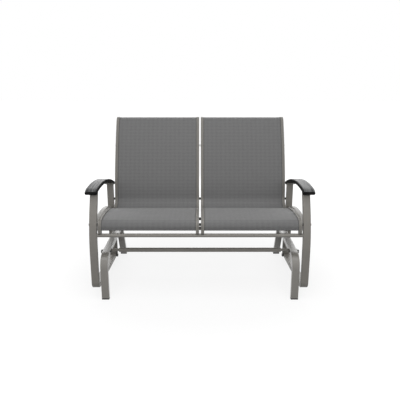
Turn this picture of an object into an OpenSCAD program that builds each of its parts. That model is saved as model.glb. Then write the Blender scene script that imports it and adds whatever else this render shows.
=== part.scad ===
// Two-seat glider bench. The base side frames stand still, and the seat hangs on four flat links.
// X runs across the bench, Y from front to back, and Z up. Side outlines are drawn as [depth, height],
// where depth is measured back from the front face of the base's front legs.

/* [Widths] */
// Width across the outer faces of the outer sling rails
seat_w = 1126; // [900:2:1400]
// Gap between the two centre sling rails
centre_gap = 11; // [6:1:30]
// Gap between an outer sling rail and the side frame beside it
post_gap = 8; // [6:0.5:12]
// Gap between the base side frame and the seat side frame, where the links swing
link_gap = 12.5; // [12:0.5:20]
// How far the armrest stands out past the seat side frame
arm_overhang = 22; // [10:1:40]

/* [Frame tube] */
// Width of the frame tube, across the bench
tube_w = 42; // [36:1:50]
// Depth of the frame tube, in the side view
tube_d = 25; // [22:1:30]
// Wall of the frame tube
tube_wall = 1.5; // [1:0.1:2.5]
// Corner radius of the frame tube
tube_corner = 3; // [2:0.5:3]
// Width of the arched side rail under the armrest
side_rail_w = 30; // [20:1:40]
// Clearance of a plastic plug in its tube
plug_fit = 0.2; // [0.1:0.05:0.4]

/* [Base] */
// Height of the base side frame's top rail
base_h = 261; // [240:1:300]
// Distance on the floor between the centres of the front and rear legs
foot_span = 706.5; // [680:0.5:800]
// Lean of the rear leg from upright, in degrees
rear_lean = 27.8; // [24:0.1:32]
// Bend radius of the base side frame, at the tube's centre
base_bend_r = 64.5; // [50:0.5:80]
// Height of the foot glides
foot_h = 7; // [4:0.5:12]
// Length of a foot glide's plug inside the tube
foot_plug = 18; // [8:1:30]
// Diameter of the base stretchers
stretcher_d = 25; // [18:0.5:30]
// Diameter of a stretcher's necked end
neck_d = 15; // [12:0.5:18]
// Length of a stretcher's necked end
neck_l = 46; // [20:1:80]
// Depth of the front stretcher's centre
front_stretcher_u = 140; // [136:1:220]
// Depth of the rear stretcher's centre
rear_stretcher_u = 530; // [450:1:545]

/* [Links] */
// Depth of the front pivots
front_pivot_u = 113; // [100:1:140]
// Distance between a link's two pivots
link_l = 183; // [160:1:200]
// Width of a link
link_w = 24; // [22:1:30]
// Thickness of a link
link_t = 4; // [3:0.5:5]
// Radius of the pivot bolts
pivot_r = 4; // [3:0.5:5]
// Wall of the bushing in a link's eye
bush_wall = 2; // [1.5:0.5:3]
// Radial running clearance of a pivot bolt in its bushing
pivot_play = 0.1; // [0.05:0.01:0.1]
// Side play between a link and the washers beside it
link_play = 0.2; // [0.1:0.05:0.4]
// Height of the low head of a pivot bolt
pivot_head = 3; // [2.5:0.25:4]
// Radius of a pivot bolt's head and washers
pivot_head_r = 10; // [8:0.5:11]

/* [Seat frame] */
// Depth of the front post's centre where it is upright
front_post_u = 20; // [16:0.5:30]
// Bend radius between the front post and the lower rail, at the tube's centre
post_bend_r = 30; // [28:1:60]
// Height where the front post starts to sweep back
sweep_z = 270; // [240:1:300]
// Sweep radius of the front post, at the tube's centre
sweep_r = 587.5; // [500:0.5:700]
// Angle that the front post sweeps back through
sweep_turn = 23.8; // [18:0.1:28]
// Depth of the rear post's centre
rear_post_u = 613; // [605:1:620]
// How far the lower rail reaches behind the rear post's centre
rail_tail = 38; // [30:1:60]
// Top radius of the arched side rail
side_rail_r = 838; // [700:1:1200]
// Height of the arched side rail's crest
side_rail_z = 428.5; // [400:0.5:450]
// Depth of the arched side rail's crest
side_rail_u = 316; // [280:1:350]
// Height of the front crossbar's centre
crossbar_z = 376.5; // [360:0.5:385]
// Diameter of the front crossbar
crossbar_d = 21; // [16:0.5:24]
// Wall of the round tubes
round_wall = 1.5; // [1:0.1:2.5]

/* [Armrest] */
// Width of an armrest
arm_w = 69; // [55:1:75]
// Thickness of an armrest
arm_t = 21; // [15:0.5:28]
// Radius of an armrest's rounded edges
arm_edge_r = 7; // [4:0.5:9]
// Depth of the middle of the armrest's front end
arm_nose_u = 69.6; // [60:0.1:80]
// Height of the middle of the armrest's front end
arm_nose_z = 605; // [590:0.5:630]
// Slope of the armrest's front end, in degrees
arm_nose_slope = 32; // [25:0.5:40]
// Radius of the curl at the armrest's front, at its middle
arm_curl_r = 77.5; // [60:0.5:100]
// Radius of the armrest's long arch, at its middle
arm_arch_r = 1239.5; // [1000:0.5:1500]
// Slope of the armrest where the curl meets the arch, in degrees
arm_arch_slope = 3.5; // [1:0.1:6]
// Angle of the armrest's long arch
arm_arch_turn = 25.5; // [22:0.1:30]
// Wall of the armrest over and beside its hollow underside
arm_wall = 4.5; // [4:0.5:6]
// Thickness of the ribs in the armrest's hollow underside
arm_rib = 2.5; // [2:0.5:4]
// Number of hollows between the armrest's cross ribs
arm_cells = 8; // [4:1:12]
// Thickness of the tab plates between the posts and the armrest
tab_t = 3; // [2:0.5:4]
// Length of a tab plate along the armrest
tab_l = 70; // [50:1:90]
// Depth of the front tab plate's middle
front_tab_u = 131; // [125:1:160]
// Depths of the armrest's screws, from the middles of the two tab plates
arm_screw_off = [20, -20];

/* [Sling rails] */
// Width of a sling rail
rail_w = 17.5; // [16:0.5:25]
// Depth of a sling rail
rail_d = 25; // [22:0.5:30]
// Depth of the rail's centre at its front end
rail_front_u = 29.5; // [26:0.5:36]
// Upright run at the rail's front end
rail_front_run = 35; // [25:0.5:45]
// Radius of the seat's front nose, at the rail's centre
nose_r = 27.5; // [20:0.5:35]
// Angle of the seat's front nose
nose_turn = 87; // [80:0.5:92]
// Radius of the seat's long curve, at the rail's centre
seat_r = 1087.5; // [800:0.5:1500]
// Angle of the seat's long curve
seat_turn = 20; // [16:0.1:24]
// Straight run of the seat before the back
seat_run = 99; // [80:0.5:120]
// Radius between the seat and the back, at the rail's centre
corner_r = 77.5; // [60:0.5:100]
// Angle between the seat and the back
corner_turn = 101; // [95:0.5:108]
// Radius of the lower back's curve, at the rail's centre
lumbar_r = 547.5; // [400:0.5:700]
// Angle of the lower back's curve
lumbar_turn = 13; // [9:0.1:16]
// Radius of the upper back's curve, at the rail's centre
back_r = 1887.5; // [1200:0.5:2500]
// Angle of the upper back's curve
back_turn = 11; // [8:0.1:12]
// Straight run of the upper back
back_run = 20; // [5:0.5:40]
// Radius of the roll at the top, at the rail's centre
roll_r = 37.5; // [25:0.5:50]
// Angle of the roll at the top
roll_turn = 70; // [50:1:90]
// Thickness of the rails' end caps
cap_t = 2.5; // [2:0.5:4]
// Straight run at the rail's top end
rail_end_run = 6; // [5.5:0.5:12]
// Length of an end cap's plug inside the rail
cap_plug = 5; // [3:0.5:5]
// Length of the lower rail plug inside the frame tube
tail_plug = 12; // [6:1:20]
// Wall of a sling rail
rail_wall = 1.5; // [1.2:0.1:2]

/* [Sling] */
// Thickness of the sling
sling_t = 1.2; // [0.8:0.1:2]
// Height of the slot's mouth in the sling rail
slot_h = 2; // [1.6:0.1:3]
// Height and depth of the spline pocket in the sling rail
pocket = 5; // [4:0.2:6]
// Depth of the slot's lips
slot_lip = 2; // [1.5:0.1:3]
// Clearance of the spline in its pocket and of the sling in its slot
sling_clear = 0.3; // [0.2:0.05:0.5]
// Height of the sling's front edge above the rail's front end
hem_rise = 18; // [10:1:30]

/* [Fasteners] */
// Radius of the frame bolts
bolt_r = 4; // [3:0.5:5]
// Radius of a frame bolt's head and of its nut across the corners
bolt_head_r = 6.5; // [5.5:0.5:8]
// Height of the frame bolts' heads and nuts
bolt_head = 5; // [4:0.5:6]
// Clearance of a bolt in its hole
bolt_clear = 0.2; // [0.1:0.05:0.4]
// Radius of the spacers between the side frame and the rails
spacer_r = 8; // [6.5:0.5:9]
// Radius of the spreader tubes inside each sling
spreader_r = 7; // [6:0.5:8]
// Depth of a bolt in a spreader tube's end
spreader_bite = 20; // [12:1:30]
// Height of the low heads of the bolts through the posts
post_head = 2; // [1.5:0.5:4]
// The front bolts from the front end of the rails, as [depth, height]
front_bolt = [9.5, 47];
// The seat spreaders' bolts from the front end of the rails, as [depth, height]
seat_bolt = [80.5, 58];
// Direction of the lower back bolts from the centre of the rails' back bend, in degrees
lumbar_bolt_a = -18.5; // [-24:0.5:-12]
// How far the lower back bolts stand behind the rails' middle line
lumbar_bolt_off = 1; // [0:0.5:3]
// Share of the upper back's curve that lies below the upper bolts
back_bolt_share = 0.6; // [0.3:0.05:0.9]
// How far the upper back bolts stand behind the rails' middle line
back_bolt_off = 3; // [0:0.5:4]

/* [Hidden] */
$fn = 48;
// Angle of one facet in a bend, and the radius above which the facets are half as long
arc_step = 3;
wide_r = 200;
// Reach of the cutting shapes beyond the bench, and beyond a tube's end
far = 2000;
cut = 10;
// A run reaches this far into the bend beside it, and its outside lies this much under the bend's
joint_reach = 0.5;
joint_step = 0.02;

// Side walls across the bench, for the side at +X
x_rail_out = seat_w / 2;
x_rail_in = x_rail_out - rail_w;
x_mid_in = centre_gap / 2;
x_mid_out = x_mid_in + rail_w;
x_post_in = x_rail_out + post_gap;
x_post_out = x_post_in + tube_w;
x_base_out = x_post_in - link_gap;
x_base_in = x_base_out - tube_w;
x_arm_out = x_post_out + arm_overhang;
x_link = x_post_in - pivot_head - 1 - link_play - link_t;

// Points along a path. Each step is [straight run, bend radius, bend angle], and off is to its left.
function heading(a) = [cos(a), sin(a)];
function left_of(a) = [-sin(a), cos(a)];
function shifted(p, a, off) = p + off * left_of(a);
function flipped(list) = [for (i = [len(list) - 1:-1:0]) list[i]];
function run_end(p, a, s) = p + s[0] * heading(a);
function bend_centre(p, a, s) = run_end(p, a, s) + sign(s[2]) * s[1] * left_of(a);
function bend_point(c, a, s, t, off) = c - (sign(s[2]) * s[1] - off) * left_of(a + s[2] * t);
function step_end(p, a, s) = s[2] == 0 ? run_end(p, a, s) : bend_point(bend_centre(p, a, s), a, s, 1, 0);
function bend_count(s) = max(1, ceil(abs(s[2]) / (s[1] > wide_r ? arc_step / 2 : arc_step)));
function step_points(p, a, s, off) = concat(
    s[0] > 0 ? [run_end(p, a, s) + off * left_of(a)] : [],
    s[2] == 0 ? [] : [
        for (k = [1:bend_count(s)]) bend_point(bend_centre(p, a, s), a, s, k / bend_count(s), off)
    ]
);
function trace(p, a, steps, off, i = 0) = concat(
    i == 0 ? [p + off * left_of(a)] : [],
    i == len(steps) ? [] : concat(
        step_points(p, a, steps[i], off),
        trace(step_end(p, a, steps[i]), a + steps[i][2], steps, off, i + 1)
    )
);
function path_end(p, a, steps, i = 0) = i == len(steps)
    ? p
    : path_end(step_end(p, a, steps[i]), a + steps[i][2], steps, i + 1);
function turned(steps, i = 0) = i == len(steps) ? 0 : steps[i][2] + turned(steps, i + 1);
function firsts(steps, n) = [for (i = [0:1:n - 1]) steps[i]];
function longer(steps, e) = [
    for (i = [0:len(steps) - 1])
        [steps[i][0] + (i == 0 ? e : 0) + (i == len(steps) - 1 ? e : 0), steps[i][1], steps[i][2]]
];

// Base side frame: up the front leg, back along the top, down the rear leg
base_axis_z = base_h - tube_d / 2;
rear_turn = 90 - rear_lean;
rear_foot_u = tube_d / 2 + foot_span;
rear_vertex_u = rear_foot_u - base_axis_z * tan(rear_lean);
rear_tangent = base_bend_r * tan(rear_turn / 2);
base_start = [tube_d / 2, 0];
base_steps = [
    [base_axis_z - base_bend_r, base_bend_r, -90],
    [rear_vertex_u - rear_tangent - tube_d / 2 - base_bend_r, base_bend_r, -rear_turn],
    [base_axis_z / cos(rear_lean) - rear_tangent + tube_d, 0, 0]
];

// Pivots. The rear ones sit where the rear bend ends, and the lower ones hang one link below.
front_pivot = [front_pivot_u, base_axis_z];
rear_pivot = [
    rear_vertex_u + rear_tangent * sin(rear_lean),
    base_axis_z - rear_tangent * cos(rear_lean)
];
rail_slope = atan((front_pivot[1] - rear_pivot[1]) / (rear_pivot[0] - front_pivot[0]));
upper_pivots = [front_pivot, rear_pivot];
lower_pivots = [for (p = upper_pivots) p - [0, link_l]];

// Seat side frame: forward along the lower rail, up the front post, back in the sweep to the arm
function lower_z(u) = lower_pivots[0][1] - (u - front_pivot_u) * tan(rail_slope);
tail_u = rear_post_u + rail_tail;
frame_bend = 90 - rail_slope;
frame_tangent = post_bend_r * tan(frame_bend / 2);
seat_start = [tail_u, lower_z(tail_u)];
seat_heading = 180 - rail_slope;
post_top_run = 160;
seat_steps = [
    [(tail_u - front_post_u) / cos(rail_slope) - frame_tangent, post_bend_r, -frame_bend],
    [sweep_z - lower_z(front_post_u) - frame_tangent, sweep_r, -sweep_turn],
    [post_top_run, 0, 0]
];

// Armrest
arm_start = [arm_nose_u, arm_nose_z];
arm_steps = [
    [0, arm_curl_r, arm_arch_slope - arm_nose_slope],
    [0, arm_arch_r, -arm_arch_turn]
];
arm_under = trace(arm_start, arm_nose_slope, arm_steps, -arm_t / 2 - tab_t);

// Sling rails
rail_start = [rail_front_u, crossbar_z + crossbar_d / 2 + cap_t];
rail_steps = [
    [rail_front_run, nose_r, -nose_turn],
    [0, seat_r, -seat_turn],
    [seat_run, corner_r, corner_turn],
    [0, lumbar_r, -lumbar_turn],
    [0, back_r, -back_turn],
    [back_run, roll_r, -roll_turn],
    [rail_end_run, 0, 0]
];
rail_end = path_end(rail_start, 90, rail_steps);
rail_end_heading = 90 + turned(rail_steps);

// The bench is centred from the front of its legs to the back of its top end caps
bench_d = rail_end[0] + cap_t * cos(rail_end_heading) - rail_d / 2 * sin(rail_end_heading);

// Stations where bolts cross the sling rails
front_station = rail_start + front_bolt;
seat_station = rail_start + seat_bolt;
to_corner = firsts(rail_steps, 2);
corner_centre = bend_centre(path_end(rail_start, 90, to_corner), 90 + turned(to_corner), rail_steps[2]);
lumbar_station = corner_centre + (corner_r + lumbar_bolt_off) * heading(lumbar_bolt_a);
to_back = concat(firsts(rail_steps, 4), [[0, back_r, -back_turn * back_bolt_share]]);
back_station = shifted(path_end(rail_start, 90, to_back), 90 + turned(to_back), -back_bolt_off);
stations = [front_station, seat_station, lumbar_station, back_station];

// Places side outlines: x0 is the inner wall, and children are drawn as [depth, height, across]
module side(x0) {
    translate([x0, -bench_d / 2, 0]) rotate([90, 0, 90]) children();
}

// Repeats a part at +X and at -X
module both_sides() {
    children();
    mirror([1, 0, 0]) children();
}

module band(p, a, steps, d) {
    polygon(concat(trace(p, a, steps, d / 2), flipped(trace(p, a, steps, -d / 2))));
}

// A rounded rectangle: h along the first axis, centred, and w along the second axis, from 0
module rounded_section(h, w, r) {
    translate([-h / 2 + r, 0]) square([h - 2 * r, w]);
    translate([-h / 2, r]) square([h, w - 2 * r]);
    for (x = [-h / 2 + r, h / 2 - r], y = [r, w - r]) translate([x, y]) circle(r = r);
}

// The two kinds of piece in a sweep. Their children are a section drawn as [to the path's left, across].
module swept_run(p, a, l) {
    translate([p[0], p[1], 0]) rotate(a - 90) rotate([-90, 0, 0]) mirror([0, 1])
        linear_extrude(l) mirror([1, 0]) children();
}

module swept_bend(p, a, s, reach = 0) {
    c = bend_centre(p, a, s);
    more = reach / s[1] * 180 / PI;
    translate([c[0], c[1], 0]) rotate(a + s[2] + 90 - more)
        rotate_extrude(angle = 2 * more - s[2], $fn = 180) translate([s[1], 0]) children();
}

// A rounded rectangle inset all round by the joint's step
module inset_section(h, w, r) {
    translate([0, joint_step]) rounded_section(h - 2 * joint_step, w - 2 * joint_step, r - joint_step);
}

// Sweeps a rounded rectangle along a path whose bends all turn right
module sweep(p, a, steps, h, w, r) {
    for (i = [0:len(steps) - 1]) {
        q = path_end(p, a, firsts(steps, i));
        b = a + turned(firsts(steps, i));
        before = i == 0 ? 0 : joint_reach;
        after = steps[i][2] == 0 ? 0 : joint_reach;
        swept_run(q - before * heading(b), b, before + steps[i][0] + after) inset_section(h, w, r);
        if (steps[i][2] != 0) swept_bend(q, b, steps[i]) rounded_section(h, w, r);
    }
}

// A bent rectangular tube with rounded corners, w wide across the bench
module bent_tube(p, a, steps, w, d, wall, r) {
    difference() {
        sweep(p, a, steps, d, w, r);
        translate([0, 0, wall]) linear_extrude(w - 2 * wall)
            band(p - cut * heading(a), a, longer(steps, cut), d - 2 * wall);
    }
}

// A round pin along X at a side-view point
module pin(p, r, x0, x1) {
    side(x0) translate([p[0], p[1], 0]) cylinder(r = r, h = x1 - x0);
}

// A washer or spacer along X at a side-view point
module ring(p, r, hole, x0, x1) {
    side(x0) translate([p[0], p[1], 0]) difference() {
        cylinder(r = r, h = x1 - x0);
        translate([0, 0, -1]) cylinder(r = hole, h = x1 - x0 + 2);
    }
}

// A hexagonal nut along X at a side-view point
module nut(p, r, hole, x0, x1) {
    side(x0) translate([p[0], p[1], 0]) difference() {
        cylinder(r = r, h = x1 - x0, $fn = 6);
        translate([0, 0, -1]) cylinder(r = hole, h = x1 - x0 + 2);
    }
}

// Base
front_stretcher = [front_stretcher_u, base_axis_z];
rear_stretcher = [rear_stretcher_u, base_axis_z];

module below_floor_cut(h) {
    translate([-far / 2, h - far]) square([2 * far, far]);
}

module base_frame() {
    color("#8c8b87") difference() {
        side(x_base_in) difference() {
            bent_tube(base_start, 90, base_steps, tube_w, tube_d, tube_wall, tube_corner);
            translate([0, 0, -1]) linear_extrude(tube_w + 2) below_floor_cut(foot_h);
        }
        for (p = upper_pivots) pin(p, pivot_r + bolt_clear, x_base_in - 1, x_base_out + 1);
        for (p = [front_stretcher, rear_stretcher])
            pin(p, bolt_r + bolt_clear, x_base_in - 1, x_base_out + 1);
    }
}

module stretcher(p) {
    color("#8c8b87") difference() {
        union() {
            pin(p, stretcher_d / 2, -x_base_in + neck_l, x_base_in - neck_l);
            pin(p, neck_d / 2, -x_base_in, x_base_in);
        }
        pin(p, stretcher_d / 2 - round_wall, -x_base_in + neck_l + 4, x_base_in - neck_l - 4);
        both_sides() pin(p, bolt_r, x_base_in - neck_l + 10, x_base_in + 1);
    }
}

module stretcher_bolts() {
    color("#4a4a48") both_sides() for (p = [front_stretcher, rear_stretcher]) {
        pin(p, bolt_r, x_base_in - neck_l + 12, x_base_out);
        pin(p, bolt_head_r, x_base_out, x_base_out + bolt_head);
    }
}

// Cuts what stands on the floor to the heights between z0 and z1
module floor_slice(z0, z1) {
    intersection() {
        children();
        translate([-far / 2, z0, 0]) cube([2 * far, z1 - z0, tube_w]);
    }
}

// What fills a frame tube's inside, plugged with a clearance
module plug_section() {
    slack = tube_wall + plug_fit;
    translate([slack - tube_d / 2, slack]) square([tube_d - 2 * slack, tube_w - 2 * slack]);
}

module foot_glides() {
    reach = 60;
    legs = [[base_start, 90], [[rear_foot_u, 0], 90 + rear_lean]];
    color("#2c2c2b") both_sides() side(x_base_in) for (leg = legs) {
        foot = leg[0] - reach / 2 * heading(leg[1]);
        floor_slice(0, foot_h) swept_run(foot, leg[1], reach) rounded_section(tube_d, tube_w, tube_corner);
        floor_slice(foot_h, foot_h + foot_plug) swept_run(foot, leg[1], reach) plug_section();
    }
}

module upper_pivot_bolts() {
    head_x = x_link + link_t + link_play;
    color("#3c3c3a") both_sides() for (p = upper_pivots) {
        pin(p, pivot_r, x_base_in - bolt_head, head_x);
        pin(p, pivot_head_r, head_x, head_x + pivot_head);
    }
}

module upper_pivot_nuts() {
    color("#3c3c3a") both_sides() for (p = upper_pivots)
        nut(p, bolt_head_r, pivot_r, x_base_in - bolt_head, x_base_in);
}

module upper_spacers() {
    color("#3c3c3a") both_sides() for (p = upper_pivots)
        ring(p, pivot_head_r, pivot_r, x_base_out, x_link - link_play);
}

// Links
module link(p) {
    eye_r = pivot_r + pivot_play + bush_wall;
    color("#3c3c3a") side(x_link) linear_extrude(link_t) difference() {
        union() {
            for (y = [0, -link_l]) translate([p[0], p[1] + y]) circle(r = link_w / 2);
            translate([p[0] - link_w / 2, p[1] - link_l]) square([link_w, link_l]);
        }
        for (y = [0, -link_l]) translate([p[0], p[1] + y]) circle(r = eye_r);
    }
}

module bushings(p) {
    color("#d8d6cf") for (y = [0, -link_l])
        ring(p + [0, y], pivot_r + pivot_play + bush_wall, pivot_r + pivot_play, x_link, x_link + link_t);
}

// Seat side frame
module above_arm_cut() {
    last = arm_under[len(arm_under) - 1];
    polygon(concat(arm_under, [[far, last[1]], [far, far], [-far, far], [-far, arm_under[0][1]]]));
}

module seat_frame() {
    color("#8c8b87") difference() {
        side(x_post_in) difference() {
            bent_tube(seat_start, seat_heading, seat_steps, tube_w, tube_d, tube_wall, tube_corner);
            translate([0, 0, -1]) linear_extrude(tube_w + 2) above_arm_cut();
        }
        for (p = lower_pivots) pin(p, pivot_r + bolt_clear, x_post_in - 1, x_post_out + 1);
        pin(front_station, bolt_r + bolt_clear, x_post_in - 1, x_post_out + 1);
    }
}

// The space below the lower rail's top face
module below_rail_cut() {
    rise = tube_d / 2 / cos(rail_slope);
    polygon([[0, lower_z(0) + rise], [far, lower_z(far) + rise], [far, -far], [0, -far]]);
}

module rear_post() {
    steps = [[arm_nose_z, 0, 0]];
    color("#8c8b87") difference() {
        side(x_post_in) difference() {
            bent_tube([rear_post_u, 0], 90, steps, tube_w, tube_d, tube_wall, tube_corner);
            translate([0, 0, -1]) linear_extrude(tube_w + 2) {
                above_arm_cut();
                below_rail_cut();
            }
        }
        pin(lumbar_station, bolt_r + bolt_clear, x_post_in - 1, x_post_out + 1);
    }
}

// The arched side rail: a slice of a ring, cut off where it meets the posts
module side_rail_ring(w, d, r) {
    reach = 30;
    translate([side_rail_u, side_rail_z - side_rail_r, 0]) rotate(90 - reach)
        rotate_extrude(angle = 2 * reach, $fn = 360) translate([side_rail_r - tube_d / 2, 0])
            rounded_section(d, w, r);
}

module side_rail_ends_cut() {
    translate([0, 0, -1]) linear_extrude(side_rail_w + 2) {
        band(seat_start, seat_heading, seat_steps, tube_d);
        translate([front_post_u - far, 0]) square([far, far]);
        translate([rear_post_u - tube_d / 2, 0]) square([far, far]);
    }
}

module side_rail() {
    x0 = x_post_out - side_rail_w;
    color("#8c8b87") side(x0) difference() {
        side_rail_ring(side_rail_w, tube_d, tube_corner);
        translate([0, 0, tube_wall]) side_rail_ring(
            side_rail_w - 2 * tube_wall, tube_d - 2 * tube_wall, tube_corner - tube_wall
        );
        side_rail_ends_cut();
    }
}

module lower_rail_plugs() {
    back = seat_heading + 180;
    color("#2c2c2b") both_sides() side(x_post_in) {
        swept_run(seat_start, back, cap_t) rounded_section(tube_d, tube_w, tube_corner);
        swept_run(seat_start - tail_plug * heading(back), back, tail_plug + cap_t / 2) plug_section();
    }
}

module lower_pivot_bolts() {
    head_x = x_link - link_play;
    color("#3c3c3a") both_sides() for (p = lower_pivots) {
        pin(p, pivot_r, head_x, x_post_out + bolt_head);
        pin(p, pivot_head_r, head_x - pivot_head, head_x);
    }
}

module lower_pivot_nuts() {
    color("#3c3c3a") both_sides() for (p = lower_pivots)
        nut(p, bolt_head_r, pivot_r, x_post_out, x_post_out + bolt_head);
}

module lower_spacers() {
    color("#3c3c3a") both_sides() for (p = lower_pivots)
        ring(p, pivot_head_r, pivot_r, x_link + link_t + link_play, x_post_in);
}

// Armrests: a rounded section swept round the curl and the arch, hollow underneath between the tab plates
arm_curl_centre = bend_centre(arm_start, arm_nose_slope, arm_steps[0]);
arm_arch_start = step_end(arm_start, arm_nose_slope, arm_steps[0]);
arm_arch_centre = bend_centre(arm_arch_start, arm_arch_slope, arm_steps[1]);
rear_tab_u = rear_post_u - tube_d / 2;
tabs_u = [front_tab_u, rear_tab_u];
function arch_slope_at(u) = -asin((u - arm_arch_centre[0]) / (arm_arch_r - arm_t / 2));

// Two hollows side by side in the underside, each l long, square to the arch where its slope is a
module arm_cell(a, l) {
    half_w = (arm_w - 2 * arm_wall - arm_rib) / 2;
    under = arm_arch_r - arm_t / 2;
    for (z = [arm_wall, arm_w - arm_wall - half_w])
        translate([arm_arch_centre[0], arm_arch_centre[1], z]) rotate(a)
            translate([-l / 2, under - 1]) cube([l, arm_t - arm_wall + 1, half_w]);
}

module arm_hollow() {
    first = arch_slope_at(front_tab_u + tab_l / 2 + arm_rib);
    last = arch_slope_at(rear_tab_u - tab_l / 2 - arm_rib);
    pitch = (first - last) / arm_cells;
    l = pitch / 180 * PI * arm_arch_r - arm_rib;
    for (i = [0:arm_cells - 1]) arm_cell(first - (i + 0.5) * pitch, l);
}

module armrest() {
    color("#1d1d1d") side(x_arm_out - arm_w) difference() {
        union() {
            swept_bend(arm_start, arm_nose_slope, arm_steps[0])
                rounded_section(arm_t, arm_w, arm_edge_r);
            swept_bend(arm_arch_start, arm_arch_slope, arm_steps[1], joint_reach)
                inset_section(arm_t, arm_w, arm_edge_r);
        }
        arm_hollow();
    }
}

// Tab plates on the post tops, which carry the armrest and follow its underside
module tab_ring(c, r) {
    translate(c) difference() {
        circle(r = r, $fn = 360);
        circle(r = r - tab_t, $fn = 360);
    }
}

module tab_region() {
    intersection() {
        tab_ring(arm_curl_centre, arm_curl_r - arm_t / 2);
        translate([arm_arch_start[0] - far, arm_curl_centre[1]]) square([far, far]);
    }
    intersection() {
        tab_ring(arm_arch_centre, arm_arch_r - arm_t / 2);
        translate([arm_arch_start[0], 0]) square([far, far]);
    }
}

module arm_tabs() {
    color("#8c8b87") both_sides() side(x_post_in) linear_extrude(tube_w) {
        for (u = tabs_u) intersection() {
            tab_region();
            translate([u - tab_l / 2, side_rail_z]) square([tab_l, far]);
        }
    }
}

module front_crossbar() {
    p = [rail_front_u, crossbar_z];
    color("#8c8b87") ring(p, crossbar_d / 2, crossbar_d / 2 - round_wall, -x_post_in, x_post_in);
}

// Sling rails: a box section with a slot for the sling along one side, at x0 when mouth_low is true
slot_off = rail_d / 2 - rail_wall - pocket / 2;
chamber_top = slot_off - pocket / 2 - rail_wall;
chamber_h = chamber_top + rail_d / 2 - rail_wall;
chamber_off = chamber_top - chamber_h / 2;

module rail_cut(off, h, x0, w) {
    start = rail_start - [0, cut];
    steps = longer(rail_steps, cut);
    translate([0, 0, x0]) linear_extrude(w)
        polygon(concat(trace(start, 90, steps, off + h / 2), flipped(trace(start, 90, steps, off - h / 2))));
}

module sling_rail(x0, mouth_low) {
    color("#8c8b87") difference() {
        side(x0) difference() {
            linear_extrude(rail_w) band(rail_start, 90, rail_steps, rail_d);
            rail_cut(chamber_off, chamber_h, rail_wall, rail_w - 2 * rail_wall);
            rail_cut(slot_off, pocket, mouth_low ? slot_lip : rail_w - slot_lip - pocket, pocket);
            rail_cut(slot_off, slot_h, mouth_low ? -1 : rail_w - slot_lip - 1, slot_lip + 2);
        }
        for (p = stations) pin(p, bolt_r + bolt_clear, x0 - 1, x0 + rail_w + 1);
    }
}

// End caps on the rails
module rail_cap(x0, p, a, way) {
    slack = rail_wall + plug_fit;
    plug_start = shifted(p, a, way * chamber_off) - cap_plug * heading(a);
    side(x0) {
        linear_extrude(rail_w) band(p, a, [[cap_t, 0, 0]], rail_d);
        translate([0, 0, slack]) linear_extrude(rail_w - 2 * slack)
            band(plug_start, a, [[cap_plug + cap_t / 2, 0, 0]], chamber_h - 2 * plug_fit);
    }
}

module rail_end_caps() {
    color("#2c2c2b") both_sides() for (x0 = [x_mid_in, x_rail_in]) {
        rail_cap(x0, rail_start, -90, -1);
        rail_cap(x0, rail_end, rail_end_heading, 1);
    }
}

module spline(x0) {
    size = pocket - 2 * sling_clear;
    side(x0) linear_extrude(size) polygon(concat(
        trace(rail_start, 90, rail_steps, slot_off + size / 2),
        flipped(trace(rail_start, 90, rail_steps, slot_off - size / 2))
    ));
}

module splines() {
    color("#3a3a3a") both_sides() {
        spline(x_rail_in + slot_lip + sling_clear);
        spline(x_mid_out - slot_lip - pocket + sling_clear);
    }
}

// Slings: a thin sheet along the rails, from slot to slot, with its front edge above the rails' ends
module sling() {
    start = rail_start + [0, hem_rise];
    steps = concat([[rail_front_run - hem_rise, nose_r, -nose_turn]],
        [for (i = [1:len(rail_steps) - 1]) rail_steps[i]]);
    x0 = x_mid_out - slot_lip + sling_clear;
    color("#6e6e6e") side(x0) linear_extrude(x_rail_in + slot_lip - sling_clear - x0) polygon(concat(
        trace(start, 90, steps, slot_off + sling_t / 2),
        flipped(trace(start, 90, steps, slot_off - sling_t / 2))
    ));
}

// Spreader tubes between the rails of each sling
module spreader(p) {
    difference() {
        pin(p, spreader_r, x_mid_out, x_rail_in);
        pin(p, spreader_r - round_wall, x_mid_out + spreader_bite + 4, x_rail_in - spreader_bite - 4);
        pin(p, bolt_r, x_mid_out - 1, x_mid_out + spreader_bite + 1);
        pin(p, bolt_r, x_rail_in - spreader_bite - 1, x_rail_in + 1);
    }
}

module spreaders(p) {
    color("#8c8b87") both_sides() spreader(p);
}

module post_spacers() {
    color("#2c2c2b") both_sides() for (p = [front_station, lumbar_station])
        ring(p, spacer_r, bolt_r, x_rail_out, x_post_in);
}

module centre_spacers() {
    color("#2c2c2b") for (p = [front_station, seat_station, lumbar_station])
        ring(p, spacer_r, bolt_r, -x_mid_in, x_mid_in);
}

module post_bolts() {
    color("#4a4a48") both_sides() {
        pin(front_station, bolt_r, x_rail_in - bolt_head, x_post_out);
        pin(lumbar_station, bolt_r, x_rail_in - spreader_bite, x_post_out);
        for (p = [front_station, lumbar_station]) pin(p, bolt_head_r, x_post_out, x_post_out + post_head);
    }
}

module centre_studs() {
    reach = x_mid_out + spreader_bite;
    color("#4a4a48") {
        pin(front_station, bolt_r, -x_mid_out - bolt_head, x_mid_out + bolt_head);
        for (p = [seat_station, lumbar_station]) pin(p, bolt_r, -reach, reach);
    }
}

module rail_nuts() {
    color("#4a4a48") both_sides() {
        nut(front_station, bolt_head_r, bolt_r, x_rail_in - bolt_head, x_rail_in);
        nut(front_station, bolt_head_r, bolt_r, x_mid_out, x_mid_out + bolt_head);
    }
}

module spreader_screws() {
    color("#4a4a48") both_sides() {
        for (p = [seat_station, back_station]) {
            pin(p, bolt_r, x_rail_in - spreader_bite, x_rail_out);
            pin(p, bolt_head_r, x_rail_out, x_rail_out + bolt_head / 2);
        }
        pin(back_station, bolt_r, x_mid_in, x_mid_out + spreader_bite);
        pin(back_station, bolt_head_r, x_mid_in - bolt_head / 2, x_mid_in);
    }
}

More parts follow.
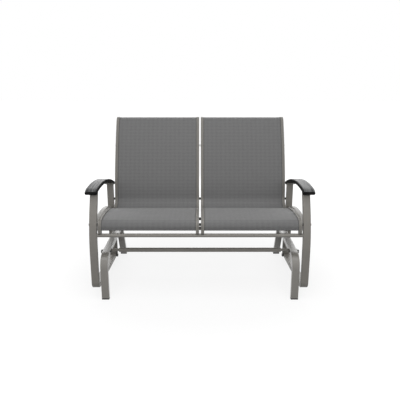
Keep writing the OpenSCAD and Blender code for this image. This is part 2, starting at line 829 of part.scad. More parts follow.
// Heads of the screws that hold the armrests, under the tab plates
module arm_screws() {
    seat = 0.1;
    r = arm_arch_r - arm_t / 2 - tab_t - seat;
    x = (x_post_in + x_post_out) / 2;
    color("#4a4a48") both_sides() for (i = [0, 1])
        side(x) translate([arm_arch_centre[0], arm_arch_centre[1], 0])
            rotate(90 + arch_slope_at(tabs_u[i] + arm_screw_off[i]))
                translate([r - bolt_head / 2, 0, 0]) rotate([0, 90, 0])
                    cylinder(r = bolt_head_r, h = bolt_head / 2);
}

mirror([1, 0, 0]) base_frame();  // base_frame_left
base_frame();  // base_frame_right
stretcher(front_stretcher);  // base_front_stretcher
stretcher(rear_stretcher);  // base_rear_stretcher
stretcher_bolts();
foot_glides();
upper_pivot_bolts();
upper_pivot_nuts();
upper_spacers();
mirror([1, 0, 0]) link(front_pivot);  // link_front_left
link(front_pivot);  // link_front_right
mirror([1, 0, 0]) link(rear_pivot);  // link_rear_left
link(rear_pivot);  // link_rear_right
mirror([1, 0, 0]) bushings(front_pivot);  // bushings_front_left
bushings(front_pivot);  // bushings_front_right
mirror([1, 0, 0]) bushings(rear_pivot);  // bushings_rear_left
bushings(rear_pivot);  // bushings_rear_right
mirror([1, 0, 0]) seat_frame();  // seat_frame_left
seat_frame();  // seat_frame_right
mirror([1, 0, 0]) rear_post();  // rear_post_left
rear_post();  // rear_post_right
mirror([1, 0, 0]) side_rail();  // side_rail_left
side_rail();  // side_rail_right
lower_rail_plugs();
lower_pivot_bolts();
lower_pivot_nuts();
lower_spacers();
mirror([1, 0, 0]) armrest();  // armrest_left
armrest();  // armrest_right
arm_tabs();
arm_screws();
front_crossbar();
mirror([1, 0, 0]) sling_rail(x_rail_in, true);  // sling_rail_outer_left
mirror([1, 0, 0]) sling_rail(x_mid_in, false);  // sling_rail_inner_left
sling_rail(x_mid_in, false);  // sling_rail_inner_right
sling_rail(x_rail_in, true);  // sling_rail_outer_right
rail_end_caps();
splines();
mirror([1, 0, 0]) sling();  // sling_left
sling();  // sling_right
spreaders(seat_station);  // seat_spreaders
spreaders(lumbar_station);  // lumbar_spreaders
spreaders(back_station);  // back_spreaders
post_spacers();
centre_spacers();
post_bolts();
centre_studs();
rail_nuts();
spreader_screws();
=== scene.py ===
import math

import bpy
import numpy as np
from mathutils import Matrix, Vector


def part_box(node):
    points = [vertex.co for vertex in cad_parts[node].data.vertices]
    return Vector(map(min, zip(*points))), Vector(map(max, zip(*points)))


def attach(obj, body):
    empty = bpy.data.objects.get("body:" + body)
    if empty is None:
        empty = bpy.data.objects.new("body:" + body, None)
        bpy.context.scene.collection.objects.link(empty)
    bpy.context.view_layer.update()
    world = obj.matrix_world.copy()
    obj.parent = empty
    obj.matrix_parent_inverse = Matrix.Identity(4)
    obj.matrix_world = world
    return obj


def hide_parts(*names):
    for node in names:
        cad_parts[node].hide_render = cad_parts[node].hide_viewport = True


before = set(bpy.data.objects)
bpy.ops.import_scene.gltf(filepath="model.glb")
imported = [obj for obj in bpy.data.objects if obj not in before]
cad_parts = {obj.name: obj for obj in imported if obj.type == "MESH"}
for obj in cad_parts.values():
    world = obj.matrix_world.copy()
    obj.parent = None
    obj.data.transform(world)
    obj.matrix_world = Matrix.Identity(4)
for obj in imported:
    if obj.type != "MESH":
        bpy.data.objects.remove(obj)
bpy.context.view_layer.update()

MM = 0.001
HALF_DEPTH = 0.43062          # side-view depth 0 lies this far in front of the middle
scene = bpy.context.scene


# ---------------------------------------------------------------- small helpers

def link(obj):
    scene.collection.objects.link(obj)
    return obj


def mesh_piece(name, verts, faces, body, mat, smooth=True):
    me = bpy.data.meshes.new(name)
    me.from_pydata([tuple(v) for v in verts], [], faces)
    me.validate()
    me.update()
    me.polygons.foreach_set("use_smooth", [smooth] * len(me.polygons))
    obj = link(bpy.data.objects.new(name, me))
    me.materials.append(mat)
    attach(obj, body)
    return obj


def at(u, z, x):
    """A point from side-view depth and height in mm, and x in mm."""
    return Vector((x * MM, u * MM - HALF_DEPTH, z * MM))


# ---------------------------------------------------------------- node helpers

class Nodes:
    """Builds a node material in few lines. Lengths in materials are metres."""

    def __init__(self, name):
        self.mat = bpy.data.materials.new(name)
        self.mat.use_nodes = True
        self.tree = self.mat.node_tree
        self.shader = self.tree.nodes["Principled BSDF"]
        self.out = self.tree.nodes["Material Output"]

    def new(self, kind, **values):
        n = self.tree.nodes.new("ShaderNode" + kind)
        for k, v in values.items():
            setattr(n, k, v)
        return n

    def join(self, a, b):
        self.tree.links.new(a, b)

    def noise(self, where, scale, detail=2.0, rough=0.5):
        n = self.new("TexNoise")
        n.inputs["Scale"].default_value = scale
        n.inputs["Detail"].default_value = detail
        n.inputs["Roughness"].default_value = rough
        self.join(where, n.inputs["Vector"])
        return n.outputs["Fac"]

    def scaled(self, where, by):
        m = self.new("VectorMath", operation="MULTIPLY")
        self.join(where, m.inputs[0])
        m.inputs[1].default_value = by
        return m.outputs["Vector"]

    def ramp(self, value, stops):
        r = self.new("ValToRGB")
        e = r.color_ramp.elements
        e[0].position, e[0].color = stops[0][0], (*stops[0][1], 1)
        e[1].position, e[1].color = stops[-1][0], (*stops[-1][1], 1)
        for p, c in stops[1:-1]:
            x = e.new(p)
            x.color = (*c, 1)
        self.join(value, r.inputs["Fac"])
        return r.outputs["Color"]

    def math(self, op, a, b=None, c=None):
        m = self.new("Math", operation=op)
        for i, v in enumerate((a, b, c)):
            if v is None:
                continue
            if isinstance(v, (int, float)):
                m.inputs[i].default_value = v
            else:
                self.join(v, m.inputs[i])
        return m.outputs["Value"]

    def mix(self, fac, a, b):
        m = self.new("Mix", data_type="RGBA")
        for i, v in ((0, fac), (6, a), (7, b)):
            if isinstance(v, (int, float)):
                m.inputs[i].default_value = v
            elif isinstance(v, tuple):
                m.inputs[i].default_value = (*v, 1)
            else:
                self.join(v, m.inputs[i])
        return m.outputs[2]

    def bump(self, height, strength, distance, normal=None):
        b = self.new("Bump")
        b.inputs["Strength"].default_value = strength
        b.inputs["Distance"].default_value = distance
        self.join(height, b.inputs["Height"])
        if normal is not None:
            self.join(normal, b.inputs["Normal"])
        return b.outputs["Normal"]

    def object_coords(self):
        return self.new("TexCoord").outputs["Object"]

    def rounded(self, radius):
        b = self.new("Bevel", samples=6)
        b.inputs["Radius"].default_value = radius
        return b.outputs["Normal"]

    def set(self, socket, value):
        s = self.shader.inputs[socket]
        if isinstance(value, (int, float)):
            s.default_value = value
        elif isinstance(value, tuple):
            s.default_value = (*value, 1)
        else:
            self.join(value, s)


def shade(base, by):
    """A colour made lighter or darker by a factor."""
    return tuple(c * by for c in base)


def srgb(r, g, b):
    """The linear colour of three 8-bit levels."""
    def lin(c):
        c /= 255
        return c / 12.92 if c <= 0.04045 else ((c + 0.055) / 1.055) ** 2.4
    return (lin(r), lin(g), lin(b))


# ---------------------------------------------------------------- materials

def powder_coat(name, base, edge, rough, corner, coat=0.1, groove=()):
    """Satin powder coat: fine orange peel, faint cloudiness, and paler sharp edges, partly slight wear and
    partly a painted edge highlight.
    groove: distances from the middle of the bench at which a rail's shallow groove runs, its floor darkened
    as painted shade."""
    m = Nodes(name)
    where = m.object_coords()
    cloud = m.noise(where, scale=9, detail=3)
    fleck = m.noise(where, scale=900)
    tone = m.ramp(cloud, [(0.3, shade(base, 0.95)), (0.7, shade(base, 1.05))])
    grain = m.ramp(fleck, [(0.35, (0.93, 0.93, 0.93)), (0.65, (1.05, 1.05, 1.05))])
    speckled = m.new("Mix", data_type="RGBA", blend_type="MULTIPLY")
    speckled.inputs[0].default_value = 1
    m.join(tone, speckled.inputs[6])
    m.join(grain, speckled.inputs[7])
    # sharp edges are painted paler: partly slight wear, partly a painted edge highlight
    sharp = m.new("NewGeometry").outputs["Pointiness"]
    wear_and_highlight = m.ramp(sharp, [(0.56, (0, 0, 0)), (0.66, (1, 1, 1))])
    color = m.mix(m.math("MULTIPLY", wear_and_highlight, 0.35), speckled.outputs[2], edge)
    m.set("Roughness", m.math("MULTIPLY_ADD", cloud, 0.10, rough - 0.05))
    m.set("Coat Weight", coat)
    m.set("Coat Roughness", 0.32)
    peel = m.noise(where, scale=420, rough=0.4)
    normal = m.bump(peel, 0.12, 0.0002, m.rounded(corner))
    if groove:
        sep = m.new("SeparateXYZ")
        m.join(where, sep.inputs[0])
        side = m.math("ABSOLUTE", sep.outputs["X"])
        near = None
        for middle in groove:
            off = m.math("ABSOLUTE", m.math("SUBTRACT", side, middle))
            near = off if near is None else m.math("MINIMUM", near, off)
        # painted shade: the groove's floor is darkened toward a deeper grey
        inside = m.ramp(m.math("MULTIPLY", near, 100), [(0.28, (1, 1, 1)), (0.50, (0, 0, 0))])
        color = m.mix(m.math("MULTIPLY", inside, 0.30), color, shade(base, 0.45))
        normal = m.bump(m.math("SUBTRACT", 1.0, inside), 0.6, 0.0015, normal)
    m.set("Base Color", color)
    m.set("Normal", normal)
    return m.mat


ARM_SHEEN_SIDES = (0.5735, 0.6315)  # the top, painted grey as a painted sheen over its streaks, lies between these, from the bench's middle
ARM_NOSE = 0.0675                 # the painted sheen stops at this side-view depth, and the nose in front of it is black
ARM_SHEEN_FACING = 0.42             # upward part of the normal above which a face counts as the top and gets the painted sheen


def arm_plastic(name):
    """Armrest in black plastic with fine lengthwise streaks on its top, which is painted grey as a painted
    sheen; sides, ends and underside stay black.
    """
    m = Nodes(name)
    coords = m.new("TexCoord").outputs
    where = coords["Object"]
    facing = m.new("SeparateXYZ")
    m.join(coords["Normal"], facing.inputs[0])
    place = m.new("SeparateXYZ")
    m.join(where, place.inputs[0])
    side = m.math("ABSOLUTE", place.outputs["X"])
    inner, outer = ARM_SHEEN_SIDES
    between = m.math("MULTIPLY", m.math("GREATER_THAN", side, inner), m.math("LESS_THAN", side, outer))
    # painted sheen: upward faces of the top are painted grey, the rest stays black
    top = m.math("MULTIPLY", m.math("GREATER_THAN", facing.outputs["Z"], ARM_SHEEN_FACING), between)
    top = m.math("MULTIPLY", top, m.math("GREATER_THAN", place.outputs["Y"], ARM_NOSE - HALF_DEPTH))
    fine = m.noise(m.scaled(where, (1, 0.012, 0.012)), scale=230, detail=4, rough=0.65)
    broad = m.noise(m.scaled(where, (1, 0.03, 0.03)), scale=70)
    lines = m.math("ADD", m.math("MULTIPLY", fine, 0.65), m.math("MULTIPLY", broad, 0.35))
    sheen_grey = m.ramp(lines, [(0.40, (0.016, 0.017, 0.018)), (0.50, (0.070, 0.071, 0.072)),
                          (0.60, (0.175, 0.177, 0.177))])
    m.set("Base Color", m.mix(top, (0.0045, 0.0045, 0.0048), sheen_grey))
    m.set("Roughness", m.math("MULTIPLY_ADD", broad, 0.14, 0.40))
    m.set("Specular IOR Level", 0.08)
    grain = m.noise(where, scale=1300)
    height = m.math("ADD", m.math("MULTIPLY", lines, 0.8), m.math("MULTIPLY", grain, 0.12))
    m.set("Normal", m.bump(height, 0.25, 0.0004, m.rounded(0.0012)))
    return m.mat


def moulded(name, base, rough, corner):
    """Black moulded plastic with a fine spark-eroded grain."""
    m = Nodes(name)
    where = m.object_coords()
    cloud = m.noise(where, scale=60, detail=3)
    m.set("Base Color", m.ramp(cloud, [(0.3, shade(base, 0.8)), (0.7, shade(base, 1.2))]))
    m.set("Roughness", m.math("MULTIPLY_ADD", cloud, 0.12, rough - 0.06))
    m.set("Normal", m.bump(m.noise(where, scale=1400), 0.15, 0.0001, m.rounded(corner)))
    return m.mat


def plated(name, base, rough, metallic):
    """Small steel parts with a faint mottle."""
    m = Nodes(name)
    where = m.object_coords()
    mottle = m.noise(where, scale=220, detail=3)
    m.set("Base Color", m.ramp(mottle, [(0.3, shade(base, 0.8)), (0.7, shade(base, 1.15))]))
    m.set("Metallic", metallic)
    m.set("Roughness", m.math("MULTIPLY_ADD", mottle, 0.18, rough - 0.09))
    m.set("Normal", m.bump(m.noise(where, scale=1600), 0.10, 0.0001, m.rounded(0.0006)))
    return m.mat


CHECK_ACROSS, CHECK_ALONG = 0.0294, 0.0231   # pitch of the faint check of thicker yarns


def woven(name, yarn, gap_shade, thread):
    """Coated yarn mesh, its crests painted lighter and its dips and gaps painted darker as light and shade.
    thread is the yarns' pitch. UV is in metres: U across the sling, V along it.
    """
    m = Nodes(name)
    uv = m.new("UVMap", uv_map="cloth").outputs["UV"]
    sep = m.new("SeparateXYZ")
    m.join(uv, sep.inputs[0])
    u, v = sep.outputs["X"], sep.outputs["Y"]
    pitch = 2 * math.pi / thread

    def wave(x, freq, phase=0.0):
        return m.math("SINE", m.math("MULTIPLY_ADD", x, freq, phase))

    wu, wv = wave(u, pitch), wave(v, pitch)
    # over-under: one set of yarns lies on top where the product of half-pitch waves is positive
    half_u, half_v = wave(u, pitch / 2), wave(v, pitch / 2)
    over = m.math("MULTIPLY", half_u, half_v)
    top = m.math("GREATER_THAN", over, 0.0)
    bulge_u = m.math("ABSOLUTE", half_u)
    bulge_v = m.math("ABSOLUTE", half_v)
    height = m.math("ADD", m.math("MULTIPLY", top, bulge_u),
                    m.math("MULTIPLY", m.math("SUBTRACT", 1.0, top), bulge_v))
    # a faint larger check of thicker yarns, and uneven dye
    check_u = m.math("MULTIPLY", wave(u, 2 * math.pi / CHECK_ACROSS), 0.22)
    check_v = m.math("MULTIPLY", wave(v, 2 * math.pi / CHECK_ALONG), 0.28)
    check = m.math("ADD", m.math("ADD", check_u, check_v), 0.5)
    slub_u = m.noise(m.scaled(uv, (40, 900, 1)), scale=1.0, detail=3)
    slub_v = m.noise(m.scaled(uv, (900, 40, 1)), scale=1.0, detail=3)
    uneven = m.math("ADD", m.math("MULTIPLY", slub_u, 0.5), m.math("MULTIPLY", slub_v, 0.5))
    dyed = m.math("ADD", m.math("MULTIPLY_ADD", uneven, 0.30, 0.125), m.math("MULTIPLY", check, 0.12))
    # painted light and shade: the yarns' height makes crests lighter and dips and gaps darker
    tone = m.math("ADD", m.math("MULTIPLY_ADD", height, 0.30, 0.10), dyed)
    color = m.ramp(tone, [(0.30, gap_shade), (0.62, yarn), (0.95, shade(yarn, 1.22))])
    m.set("Base Color", color)
    m.set("Roughness", 0.62)
    m.set("Specular IOR Level", 0.35)
    m.set("Sheen Weight", 0.18)
    m.set("Sheen Roughness", 0.4)
    both = m.math("ADD", height, m.math("MULTIPLY", m.math("MULTIPLY", wu, wv), 0.15))
    m.set("Normal", m.bump(both, 0.5, 0.0004))
    return m.mat


FRAME_BASE = srgb(121, 118, 113)
# the paler colour of the frame's sharp edges: partly wear, partly a painted edge highlight
FRAME_WEAR_AND_HIGHLIGHT = srgb(150, 147, 141)
# where the rails' grooves, darkened as painted shade, run on the inner and the outer sling rails, from the
# bench's middle; the outer one is on its rail's middle, and the inner one is 1.7 mm off it
RAIL_GROOVES = (0.01255, 0.55425)
mats = {
    "frame": powder_coat("powder_coat", FRAME_BASE, FRAME_WEAR_AND_HIGHLIGHT, 0.46, 0.0030),
    "base_coat": powder_coat("powder_coat_base", FRAME_BASE, FRAME_WEAR_AND_HIGHLIGHT, 0.42, 0.0030, coat=0.8),
    # the sling rails: the frame's colour darkened as painted shade, with a groove
    "rail_coat_shaded": powder_coat("powder_coat_rails_shaded", shade(FRAME_BASE, 0.86), FRAME_WEAR_AND_HIGHLIGHT, 0.50, 0.0035,
                             coat=0.0, groove=RAIL_GROOVES),
    "link_steel": powder_coat("powder_coat_links", FRAME_BASE, FRAME_WEAR_AND_HIGHLIGHT, 0.42, 0.0008),
    "armrest": arm_plastic("armrest_plastic"),
    "black_plastic": moulded("black_plastic", (0.020, 0.020, 0.020), 0.48, 0.0008),
    "bolt_steel": plated("bolt_steel", (0.22, 0.22, 0.21), 0.42, 0.8),
    "pivot_steel": plated("pivot_steel", (0.045, 0.045, 0.043), 0.5, 0.3),
    "bushing": moulded("nylon", (0.62, 0.61, 0.56), 0.5, 0.0004),
    "thread": moulded("thread", (0.10, 0.10, 0.10), 0.6, 0.0002),
    # its second colour is the painted shade of the weave's dips and gaps
    "sling": woven("sling_weave", srgb(107, 107, 107), srgb(68, 68, 69), 0.0021),
}

# each CAD node comes with a material named after its slot, and gets the one of that name made here,
# apart from the base frames and sling rails, which have a coat of their own; the rails' is the frame's
# colour darkened as painted shade
OWN_COAT = {"base_frame": "base_coat", "sling_rail": "rail_coat_shaded"}
for name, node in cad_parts.items():
    coat = next((c for start, c in OWN_COAT.items() if name.startswith(start)), None)
    for s in node.material_slots:
        slot_name = s.material.name.split(".")[0] if s.material else "frame"
        s.material = mats[coat] if coat else mats.get(slot_name, mats["frame"])


# ---------------------------------------------------------------- slings

# lengths in mm, and points as depth and height in the side view
RAIL_START = (29.5, 389.5)    # front end of the sling rail's centre line
HEM_RISE = 18                 # the cloth begins this far above it
SLOT_OFF = 8.5                # from the rail's centre to its slot, towards the sitter
PATH_START = (RAIL_START[0] - SLOT_OFF, RAIL_START[1] + HEM_RISE)
# the rail's steps: straight run, then a bend's radius at the rail's centre and its turn in degrees
PATH = [
    (35 - HEM_RISE, 27.5, -87), (0, 1087.5, -20), (99, 77.5, 101), (0, 547.5, -13),
    (0, 1887.5, -11), (20, 37.5, -70), (6, 0, 0),
]
X_IN, X_OUT = 21.3, 547.2     # the cloth's sides, inside the rails' slots
PATH_STEP = 6.0               # about the spacing of the cloth's rows
BEND_STEP = 4                 # the most degrees between two rows in a bend
CLOTH_HALF = 0.6              # half the cloth's thickness
HEM_LENGTH, HEM_EXTRA = 20, 0.5   # each hem's length, and what it adds to each face
SEAT_SAG = (2.4, 120, 480)    # depth, and where along the path it begins and ends
BACK_SAG = (2.8, 660, 1080)


def sling_path(step):
    """Points, headings and running lengths along the sling's middle, in the side view."""
    pts, heads, runs = [], [], []
    p, a, s = np.array(PATH_START), 90.0, 0.0

    def put(q, h, l):
        pts.append(tuple(q))
        heads.append(h)
        runs.append(l)

    put(p, a, s)
    for run, r, turn in PATH:
        if run:
            n = max(1, round(run / step))
            d = np.array([math.cos(math.radians(a)), math.sin(math.radians(a))])
            for k in range(1, n + 1):
                put(p + d * run * k / n, a, s + run * k / n)
            p, s = p + d * run, s + run
        if turn:
            rr = r + SLOT_OFF if turn < 0 else r - SLOT_OFF
            sign = 1 if turn > 0 else -1
            left = np.array([-math.sin(math.radians(a)), math.cos(math.radians(a))])
            c = p + sign * rr * left
            arc = rr * math.radians(abs(turn))
            n = max(1, math.ceil(abs(turn) / BEND_STEP), round(arc / step))
            for k in range(1, n + 1):
                b = math.radians(a + turn * k / n)
                put(c - sign * rr * np.array([-math.sin(b), math.cos(b)]), a + turn * k / n, s + arc * k / n)
            p, a, s = np.array(pts[-1]), a + turn, s + arc
    return pts, heads, runs


def bell(x, lo, hi):
    """0 at lo and hi, 1 halfway, and level outside."""
    t = min(1, max(0, (x - lo) / (hi - lo)))
    return math.sin(math.pi * t)


def sling(name, side_sign):
    """One stretched sling, and the length of its path in mm."""
    pts, heads, runs = sling_path(PATH_STEP)
    total = runs[-1]
    cols = 56
    verts, faces, uvs = [], [], []
    rows = len(pts)

    def sag(s, t):
        """How far the cloth gives below the rails' line, between the spreaders, in mm."""
        across = 1 - (2 * t - 1) ** 4
        seat, back = (deep * bell(s, lo, hi) for deep, lo, hi in (SEAT_SAG, BACK_SAG))
        return across * (seat + back)

    for layer in (1, -1):
        for i, (q, h, s) in enumerate(zip(pts, heads, runs)):
            left = np.array([-math.sin(math.radians(h)), math.cos(math.radians(h))])
            hem = HEM_EXTRA if min(s, total - s) < HEM_LENGTH else 0.0
            for j in range(cols + 1):
                t = j / cols
                x = X_IN + (X_OUT - X_IN) * t
                off = layer * (CLOTH_HALF + hem) - sag(s, t)
                w = np.array(q) + left * off
                verts.append(at(w[0], w[1], side_sign * x))
                uvs.append((x * MM, s * MM))
    n = cols + 1
    base = rows * n

    def quad(a, b, c, d):
        faces.append((a, b, c, d) if side_sign > 0 else (d, c, b, a))

    for i in range(rows - 1):
        for j in range(cols):
            k = i * n + j
            quad(k, k + 1, k + n + 1, k + n)
            k += base
            quad(k, k + n, k + n + 1, k + 1)
    for i in range(rows - 1):
        a, b = i * n, (i + 1) * n
        quad(a, b, b + base, a + base)
        a, b = a + cols, b + cols
        quad(b, a, a + base, b + base)
    for j in range(cols):
        quad(j + 1, j, j + base, j + 1 + base)
        k = (rows - 1) * n + j
        quad(k, k + 1, k + 1 + base, k + base)
    obj = mesh_piece(name, verts, faces, "seat", mats["sling"])
    layer = obj.data.uv_layers.new(name="cloth")
    for loop in obj.data.loops:
        layer.data[loop.index].uv = uvs[loop.vertex_index]
    return obj, total


for label, sign in (("left", -1), ("right", 1)):
    piece, length = sling("sling_cloth_" + label, sign)
    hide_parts("sling_" + label)


# ---------------------------------------------------------------- hem stitching

STITCH_PITCH = 4.6
HEM_ROWS = (12.0, 15.5)       # the two rows' distances from the cloth's end
STITCH_MARGIN = 3             # bare cloth at each side
STITCH_TIP, STITCH_BODY = 1.6, 1.1   # half lengths of a stitch, over all and between its tapers
THREAD_HALF = 0.42            # half a stitch's width
THREAD_OFF, THREAD_RISE = 1.15, 0.35   # its height over the cloth's middle, and half its thickness


def stitches(name, side_sign):
    """Two rows of lockstitch across each hem, on both faces of the cloth."""
    pts, heads, runs = sling_path(PATH_STEP)
    total = runs[-1]
    verts, faces = [], []
    rings = ((-STITCH_TIP, 0.0), (-STITCH_BODY, THREAD_HALF), (STITCH_BODY, THREAD_HALF), (STITCH_TIP, 0.0))

    def on_path(s):
        i = min(max(1, int(np.searchsorted(runs, s))), len(runs) - 1)
        t = (s - runs[i - 1]) / (runs[i] - runs[i - 1])
        q = np.array(pts[i - 1]) * (1 - t) + np.array(pts[i]) * t
        return q, math.radians(heads[i - 1] * (1 - t) + heads[i] * t)

    count = int((X_OUT - X_IN - 2 * STITCH_MARGIN) / STITCH_PITCH)
    for edge in (0, 1):
        for row in HEM_ROWS:
            q, h = on_path(total - row if edge else row)
            along = np.array([math.cos(h), math.sin(h)])
            out = np.array([-math.sin(h), math.cos(h)])
            for face in (1, -1):
                for k in range(count):
                    x = X_IN + STITCH_MARGIN + STITCH_PITCH * (k + 0.5)
                    base = len(verts)
                    for end, width in rings:
                        for c, d in ((-1, 0), (0, 1), (1, 0), (0, -1)):
                            rise = THREAD_OFF + THREAD_RISE * d * (width > 0)
                            w = q + along * width * c + out * face * rise
                            verts.append(at(w[0], w[1], side_sign * (x + end)))
                    for r in range(3):
                        for c in range(4):
                            a, b = base + 4 * r + c, base + 4 * r + (c + 1) % 4
                            faces.append((a, b, b + 4, a + 4))
    mesh_piece(name, verts, faces, "seat", mats["thread"])


for label, sign in (("left", -1), ("right", 1)):
    stitches("hem_stitching_" + label, sign)


# ---------------------------------------------------------------- weld beads

BEAD = 1.5                    # the bead's radius in mm
RIPPLE, RIPPLE_HALF = 0.16, 1.7   # the ripple's share of the radius, and half its pitch in mm
# lengths below are in metres
LOOP_CORNER, LOOP_STEP = 0.003, 0.0006   # corner radius and spacing of a bead's path round a side rail
END_FACING = 0.75             # a face whose normal has more than this along the axis is an end face
END_DEPTH = 0.012             # how far back from its tip a sloping end is looked for
WELD_INSET = 0.0006           # the crossbar's bead lies this far in from its end
ROUND_STEPS = 110             # points round the crossbar's bead


def bead(name, path, outward):
    """A rippled weld bead along a closed path, given in metres with its outward directions."""
    pts = [Vector(q) for q in path]
    n = len(pts)
    verts, faces = [], []
    ring = 8
    run = 0.0
    for i in range(n):
        ahead = (pts[(i + 1) % n] - pts[i - 1]).normalized()
        side = Vector(outward[i]).normalized()
        up = ahead.cross(side).normalized()
        run += (pts[i] - pts[i - 1]).length
        r = BEAD * MM * (1 + RIPPLE * math.sin(run / (RIPPLE_HALF * MM) * math.pi))
        for k in range(ring):
            a = 2 * math.pi * k / ring
            verts.append(pts[i] + side * (r * math.cos(a)) + up * (r * math.sin(a)))
    for i in range(n):
        for k in range(ring):
            a, b = i * ring + k, i * ring + (k + 1) % ring
            c, d = ((i + 1) % n) * ring + (k + 1) % ring, ((i + 1) % n) * ring + k
            faces.append((a, b, c, d))
    mesh_piece(name, verts, faces, "seat", mats["frame"])


def rounded_loop(half_a, half_b, r, step):
    """Points of a rounded rectangle and their outward directions, evenly spaced."""
    pts, outs = [], []
    for sa, sb, start in ((1, 1, 0), (-1, 1, 90), (-1, -1, 180), (1, -1, 270)):
        c = (sa * (half_a - r), sb * (half_b - r))
        for k in range(5):
            a = math.radians(start + 90 * k / 4)
            pts.append((c[0] + r * math.cos(a), c[1] + r * math.sin(a)))
            outs.append((math.cos(a), math.sin(a)))
    fine_p, fine_o = [], []
    for i in range(len(pts)):
        p0, p1 = pts[i], pts[(i + 1) % len(pts)]
        o0, o1 = outs[i], outs[(i + 1) % len(pts)]
        n = max(1, round(math.dist(p0, p1) / step))
        for k in range(n):
            t = k / n
            fine_p.append((p0[0] + (p1[0] - p0[0]) * t, p0[1] + (p1[1] - p0[1]) * t))
            fine_o.append((o0[0] + (o1[0] - o0[0]) * t, o0[1] + (o1[1] - o0[1]) * t))
    return fine_p, fine_o


def end_weld(name, node, axis, way):
    """A bead round a rectangular tube's end face, which looks along world axis 1 or 2."""
    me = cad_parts[node].data
    face = [[v.co.copy() for v in (me.vertices[i] for i in poly.vertices)]
            for poly in me.polygons if poly.normal[axis] * way > END_FACING]
    reach = max(way * v[axis] for poly in face for v in poly)
    ends = [v for poly in face for v in poly if reach - way * v[axis] < END_DEPTH]
    other = 3 - axis
    lo = Vector([min(v[i] for v in ends) for i in range(3)])
    hi = Vector([max(v[i] for v in ends) for i in range(3)])
    low = min(ends, key=lambda v: v[other])
    high = max(ends, key=lambda v: v[other])
    mid = (lo + hi) / 2
    loop, outs = rounded_loop((hi[0] - lo[0]) / 2, (hi[other] - lo[other]) / 2, LOOP_CORNER, LOOP_STEP)
    path, outward = [], []
    for (a, b), (oa, ob) in zip(loop, outs):
        q, o = Vector((mid[0] + a, 0, 0)), Vector((oa, 0, 0))
        q[other], o[other] = mid[other] + b, ob
        t = (q[other] - low[other]) / (high[other] - low[other])
        q[axis] = low[axis] + (high[axis] - low[axis]) * t
        path.append(q)
        outward.append(o)
    bead(name, path, outward)


def round_weld(name, middle, radius):
    """A bead round the end of a round tube that runs along X."""
    path, outward = [], []
    for k in range(ROUND_STEPS):
        a = 2 * math.pi * k / ROUND_STEPS
        d = Vector((0, math.cos(a), math.sin(a)))
        path.append(Vector(middle) + d * radius)
        outward.append(d)
    bead(name, path, outward)


for label, sign in (("left", -1), ("right", 1)):
    end_weld("weld_rail_front_" + label, "side_rail_" + label, 1, -1)
    end_weld("weld_rail_rear_" + label, "side_rail_" + label, 1, 1)
    lo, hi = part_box("front_crossbar")
    radius = (hi[2] - lo[2]) / 2
    x_end = (hi[0] if sign > 0 else lo[0]) - sign * WELD_INSET
    round_weld("weld_crossbar_" + label, (x_end, (lo[1] + hi[1]) / 2, (lo[2] + hi[2]) / 2), radius)


# ---------------------------------------------------------------- floor, light, camera

FLOOR_HALF = 14
GLOW_FROM, GLOW_TO = 0.7, 2.2        # the floor's white grows between these distances from the origin, so that it is dimmer near the bench as painted shade
GLOW_SHADED_NEAR, GLOW_HIGH = 0.82, 1.0
FLOOR_DULL, FLOOR_FAINT = 0.18, 0.16  # what lights the bench from below, and what takes its shadow
WORLD_FILL = 0.32


def floor_material():
    """White where it is seen, dimmed near the bench as painted shade, with the bench's faint shadow, and
    dull as a source of light.
    """
    m = Nodes("floor")
    m.tree.nodes.remove(m.shader)
    path = m.new("LightPath").outputs
    seen = m.math("MAXIMUM", m.math("MAXIMUM", path["Is Camera Ray"], path["Is Glossy Ray"]),
                  path["Is Transmission Ray"])
    dull = m.new("BsdfDiffuse")
    dull.inputs["Color"].default_value = (FLOOR_DULL, FLOOR_DULL, FLOOR_DULL, 1)
    faint = m.new("BsdfDiffuse")
    faint.inputs["Color"].default_value = (FLOOR_FAINT, FLOOR_FAINT, FLOOR_FAINT, 1)
    glow = m.new("Emission")
    glow.inputs["Color"].default_value = (1, 1, 1, 1)
    # painted shade: the glow is dimmed near the bench, also in reflections
    place = m.new("NewGeometry").outputs["Position"]
    away = m.new("VectorMath", operation="LENGTH")
    m.join(place, away.inputs[0])
    reach = m.new("MapRange")
    m.join(away.outputs["Value"], reach.inputs["Value"])
    for socket, value in (("From Min", GLOW_FROM), ("From Max", GLOW_TO),
                          ("To Min", GLOW_SHADED_NEAR), ("To Max", GLOW_HIGH)):
        reach.inputs[socket].default_value = value
    m.join(reach.outputs["Result"], glow.inputs["Strength"])
    add = m.new("AddShader")
    m.join(faint.outputs[0], add.inputs[0])
    m.join(glow.outputs[0], add.inputs[1])
    mix = m.new("MixShader")
    m.join(seen, mix.inputs[0])
    m.join(dull.outputs[0], mix.inputs[1])
    m.join(add.outputs[0], mix.inputs[2])
    m.join(mix.outputs[0], m.out.inputs["Surface"])
    return m.mat


def make_floor():
    me = bpy.data.meshes.new("floor")
    s = FLOOR_HALF
    me.from_pydata([(-s, -s, 0), (s, -s, 0), (s, s, 0), (-s, s, 0)], [], [(0, 1, 2, 3)])
    obj = link(bpy.data.objects.new("floor", me))
    me.materials.append(floor_material())


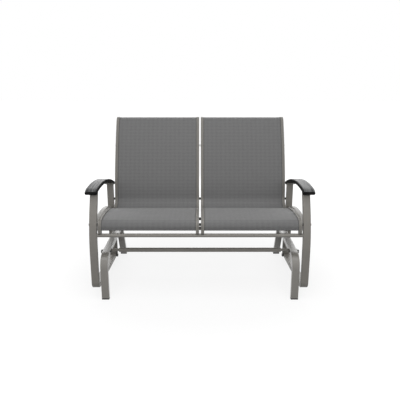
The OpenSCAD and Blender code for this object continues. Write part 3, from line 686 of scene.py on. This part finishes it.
def make_world():
    """White where it is seen, reflected or looked through, and a soft fill for the bench."""
    w = bpy.data.worlds.new("studio")
    scene.world = w
    w.use_nodes = True
    t = w.node_tree
    bg = t.nodes["Background"]
    bg.inputs["Color"].default_value = (1, 1, 1, 1)
    white = t.nodes.new("ShaderNodeBackground")
    white.inputs["Color"].default_value = (1, 1, 1, 1)
    white.inputs["Strength"].default_value = 1.0
    bg.inputs["Strength"].default_value = WORLD_FILL
    path = t.nodes.new("ShaderNodeLightPath")
    either = t.nodes.new("ShaderNodeMath")
    either.operation = "MAXIMUM"
    t.links.new(path.outputs["Is Camera Ray"], either.inputs[0])
    t.links.new(path.outputs["Is Glossy Ray"], either.inputs[1])
    seen = t.nodes.new("ShaderNodeMath")
    seen.operation = "MAXIMUM"
    t.links.new(either.outputs[0], seen.inputs[0])
    t.links.new(path.outputs["Is Transmission Ray"], seen.inputs[1])
    mix = t.nodes.new("ShaderNodeMixShader")
    t.links.new(seen.outputs[0], mix.inputs[0])
    t.links.new(bg.outputs[0], mix.inputs[1])
    t.links.new(white.outputs[0], mix.inputs[2])
    t.links.new(mix.outputs[0], t.nodes["World Output"].inputs["Surface"])


def lamp(name, where, aim, size, power, in_gloss=True):
    """A soft box that the camera doesn't see. in_gloss: whether reflections show it."""
    data = bpy.data.lights.new(name, "AREA")
    data.shape = "RECTANGLE"
    data.size, data.size_y = size
    data.energy = power
    data.color = (1, 1, 1)
    obj = link(bpy.data.objects.new(name, data))
    obj.location = where
    obj.rotation_euler = (Vector(aim) - Vector(where)).to_track_quat("-Z", "Y").to_euler()
    obj.visible_camera = False
    obj.visible_glossy = in_gloss


make_floor()
make_world()
lamp("key_top", (0, -1.0, 2.7), (0, 0, 0.4), (2.6, 1.6), 28)
lamp("fill_front", (0, -2.7, 1.7), (0, 0, 0.3), (3.0, 1.0), 37, in_gloss=False)
lamp("sweep_back", (0, 2.4, 1.3), (0, 0, 0.5), (5.0, 2.2), 72)
lamp("side_left", (-2.4, 0.2, 0.9), (0, 0, 0.3), (2.0, 1.4), 14)
lamp("side_right", (2.4, 0.2, 0.9), (0, 0, 0.3), (2.0, 1.4), 14)

# the view was fitted to the photo
cam_data = bpy.data.cameras.new("camera")
cam_data.sensor_width = 36
cam_data.lens = 45.09
camera = link(bpy.data.objects.new("camera", cam_data))
camera.location = (0, -3.027, 1.308)
camera.rotation_euler = (math.radians(74.507), 0, 0)
scene.camera = camera
scene.view_settings.view_transform = "Standard"
